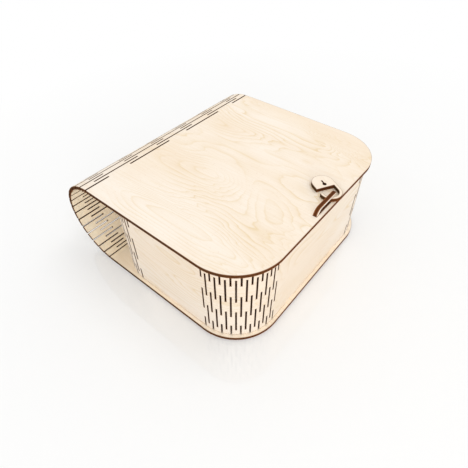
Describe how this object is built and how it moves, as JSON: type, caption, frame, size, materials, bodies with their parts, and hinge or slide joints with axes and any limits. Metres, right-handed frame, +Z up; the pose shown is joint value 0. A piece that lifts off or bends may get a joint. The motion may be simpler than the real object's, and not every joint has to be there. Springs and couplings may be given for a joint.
{
  "type": "laser-cut plywood box",
  "caption": "Book-style plywood keepsake box: base, curved living-hinge spine and lid in one sheet, a wall bent round slotted corners, and a hook latch on the lid.",
  "frame": {"origin": "on the surface that the closed box stands on, under the middle of its extents", "axes": "+Z up, +X along the fore edge to the right as seen from the fore edge, +Y from the fore edge to the spine"},
  "size_m": [0.2, 0.1956, 0.0866],
  "materials": {
    "sheet_birch": "matte",
    "wall_birch": "matte",
    "hook_birch": "matte",
    "charred_dowel": "matte"
  },
  "bodies": {
    "tray": {"base_panel": "sheet_birch", "wall_band": "wall_birch"},
    "slats_01_02": {"spine_slat_01": "sheet_birch", "spine_slat_02": "sheet_birch"},
    "slats_03_04": {"spine_slat_03": "sheet_birch", "spine_slat_04": "sheet_birch"},
    "slats_05_06": {"spine_slat_05": "sheet_birch", "spine_slat_06": "sheet_birch"},
    "slats_07_08": {"spine_slat_07": "sheet_birch", "spine_slat_08": "sheet_birch"},
    "slats_09_10": {"spine_slat_09": "sheet_birch", "spine_slat_10": "sheet_birch"},
    "slats_11_12": {"spine_slat_11": "sheet_birch", "spine_slat_12": "sheet_birch"},
    "slats_13_14": {"spine_slat_13": "sheet_birch", "spine_slat_14": "sheet_birch"},
    "slats_15_16": {"spine_slat_15": "sheet_birch", "spine_slat_16": "sheet_birch"},
    "slats_17_18": {"spine_slat_17": "sheet_birch", "spine_slat_18": "sheet_birch"},
    "slats_19_20": {"spine_slat_19": "sheet_birch", "spine_slat_20": "sheet_birch"},
    "slats_21_22": {"spine_slat_21": "sheet_birch", "spine_slat_22": "sheet_birch"},
    "slats_23_24": {"spine_slat_23": "sheet_birch", "spine_slat_24": "sheet_birch"},
    "slats_25_26": {"spine_slat_25": "sheet_birch", "spine_slat_26": "sheet_birch"},
    "slats_27_28": {"spine_slat_27": "sheet_birch", "spine_slat_28": "sheet_birch"},
    "slats_29_30": {"spine_slat_29": "sheet_birch", "spine_slat_30": "sheet_birch"},
    "lid": {"lid_panel": "sheet_birch", "latch_pin": "charred_dowel"},
    "latch": {"latch_hook": "hook_birch"}
  },
  "joints": [
    {"name": "spine_01", "type": "hinge", "parent": "tray", "child": "slats_01_02", "pos_m": [0, 0.0592, 0.0015], "axis": [-1, 0, 0], "range_deg": [0, 11.12]},
    {"name": "spine_03", "type": "hinge", "parent": "slats_01_02", "child": "slats_03_04", "pos_m": [0, 0.06701, 0.0027], "axis": [-1, 0, 0], "range_deg": [0, 11.12]},
    {"name": "spine_05", "type": "hinge", "parent": "slats_03_04", "child": "slats_05_06", "pos_m": [0, 0.07442, 0.00544], "axis": [-1, 0, 0], "range_deg": [0, 11.12]},
    {"name": "spine_07", "type": "hinge", "parent": "slats_05_06", "child": "slats_07_08", "pos_m": [0, 0.08113, 0.00962], "axis": [-1, 0, 0], "range_deg": [0, 11.12]},
    {"name": "spine_09", "type": "hinge", "parent": "slats_07_08", "child": "slats_09_10", "pos_m": [0, 0.08686, 0.01506], "axis": [-1, 0, 0], "range_deg": [0, 11.12]},
    {"name": "spine_11", "type": "hinge", "parent": "slats_09_10", "child": "slats_11_12", "pos_m": [0, 0.09137, 0.02155], "axis": [-1, 0, 0], "range_deg": [0, 11.12]},
    {"name": "spine_13", "type": "hinge", "parent": "slats_11_12", "child": "slats_13_14", "pos_m": [0, 0.09449, 0.02881], "axis": [-1, 0, 0], "range_deg": [0, 11.12]},
    {"name": "spine_15", "type": "hinge", "parent": "slats_13_14", "child": "slats_15_16", "pos_m": [0, 0.09608, 0.03655], "axis": [-1, 0, 0], "range_deg": [0, 11.12]},
    {"name": "spine_17", "type": "hinge", "parent": "slats_15_16", "child": "slats_17_18", "pos_m": [0, 0.09608, 0.04445], "axis": [-1, 0, 0], "range_deg": [0, 11.12]},
    {"name": "spine_19", "type": "hinge", "parent": "slats_17_18", "child": "slats_19_20", "pos_m": [0, 0.09449, 0.05219], "axis": [-1, 0, 0], "range_deg": [0, 11.12]},
    {"name": "spine_21", "type": "hinge", "parent": "slats_19_20", "child": "slats_21_22", "pos_m": [0, 0.09137, 0.05945], "axis": [-1, 0, 0], "range_deg": [0, 11.12]},
    {"name": "spine_23", "type": "hinge", "parent": "slats_21_22", "child": "slats_23_24", "pos_m": [0, 0.08686, 0.06594], "axis": [-1, 0, 0], "range_deg": [0, 11.12]},
    {"name": "spine_25", "type": "hinge", "parent": "slats_23_24", "child": "slats_25_26", "pos_m": [0, 0.08113, 0.07138], "axis": [-1, 0, 0], "range_deg": [0, 11.12]},
    {"name": "spine_27", "type": "hinge", "parent": "slats_25_26", "child": "slats_27_28", "pos_m": [0, 0.07442, 0.07556], "axis": [-1, 0, 0], "range_deg": [0, 11.12]},
    {"name": "spine_29", "type": "hinge", "parent": "slats_27_28", "child": "slats_29_30", "pos_m": [0, 0.06701, 0.0783], "axis": [-1, 0, 0], "range_deg": [0, 11.12]},
    {"name": "spine_31", "type": "hinge", "parent": "slats_29_30", "child": "lid", "pos_m": [0, 0.0592, 0.0795], "axis": [-1, 0, 0], "range_deg": [0, 11.12]},
    {"name": "latch_turn", "type": "hinge", "parent": "lid", "child": "latch", "pos_m": [0.0179, -0.0811, 0.0813], "axis": [0, 0, 1], "range_deg": [0, 90]}
  ],
  "couplings": [
    {"joint": "spine_03", "follows": "spine_01", "ratio": 1},
    {"joint": "spine_05", "follows": "spine_01", "ratio": 1},
    {"joint": "spine_07", "follows": "spine_01", "ratio": 1},
    {"joint": "spine_09", "follows": "spine_01", "ratio": 1},
    {"joint": "spine_11", "follows": "spine_01", "ratio": 1},
    {"joint": "spine_13", "follows": "spine_01", "ratio": 1},
    {"joint": "spine_15", "follows": "spine_01", "ratio": 1},
    {"joint": "spine_17", "follows": "spine_01", "ratio": 1},
    {"joint": "spine_19", "follows": "spine_01", "ratio": 1},
    {"joint": "spine_21", "follows": "spine_01", "ratio": 1},
    {"joint": "spine_23", "follows": "spine_01", "ratio": 1},
    {"joint": "spine_25", "follows": "spine_01", "ratio": 1},
    {"joint": "spine_27", "follows": "spine_01", "ratio": 1},
    {"joint": "spine_29", "follows": "spine_01", "ratio": 1},
    {"joint": "spine_31", "follows": "spine_01", "ratio": 1}
  ]
}
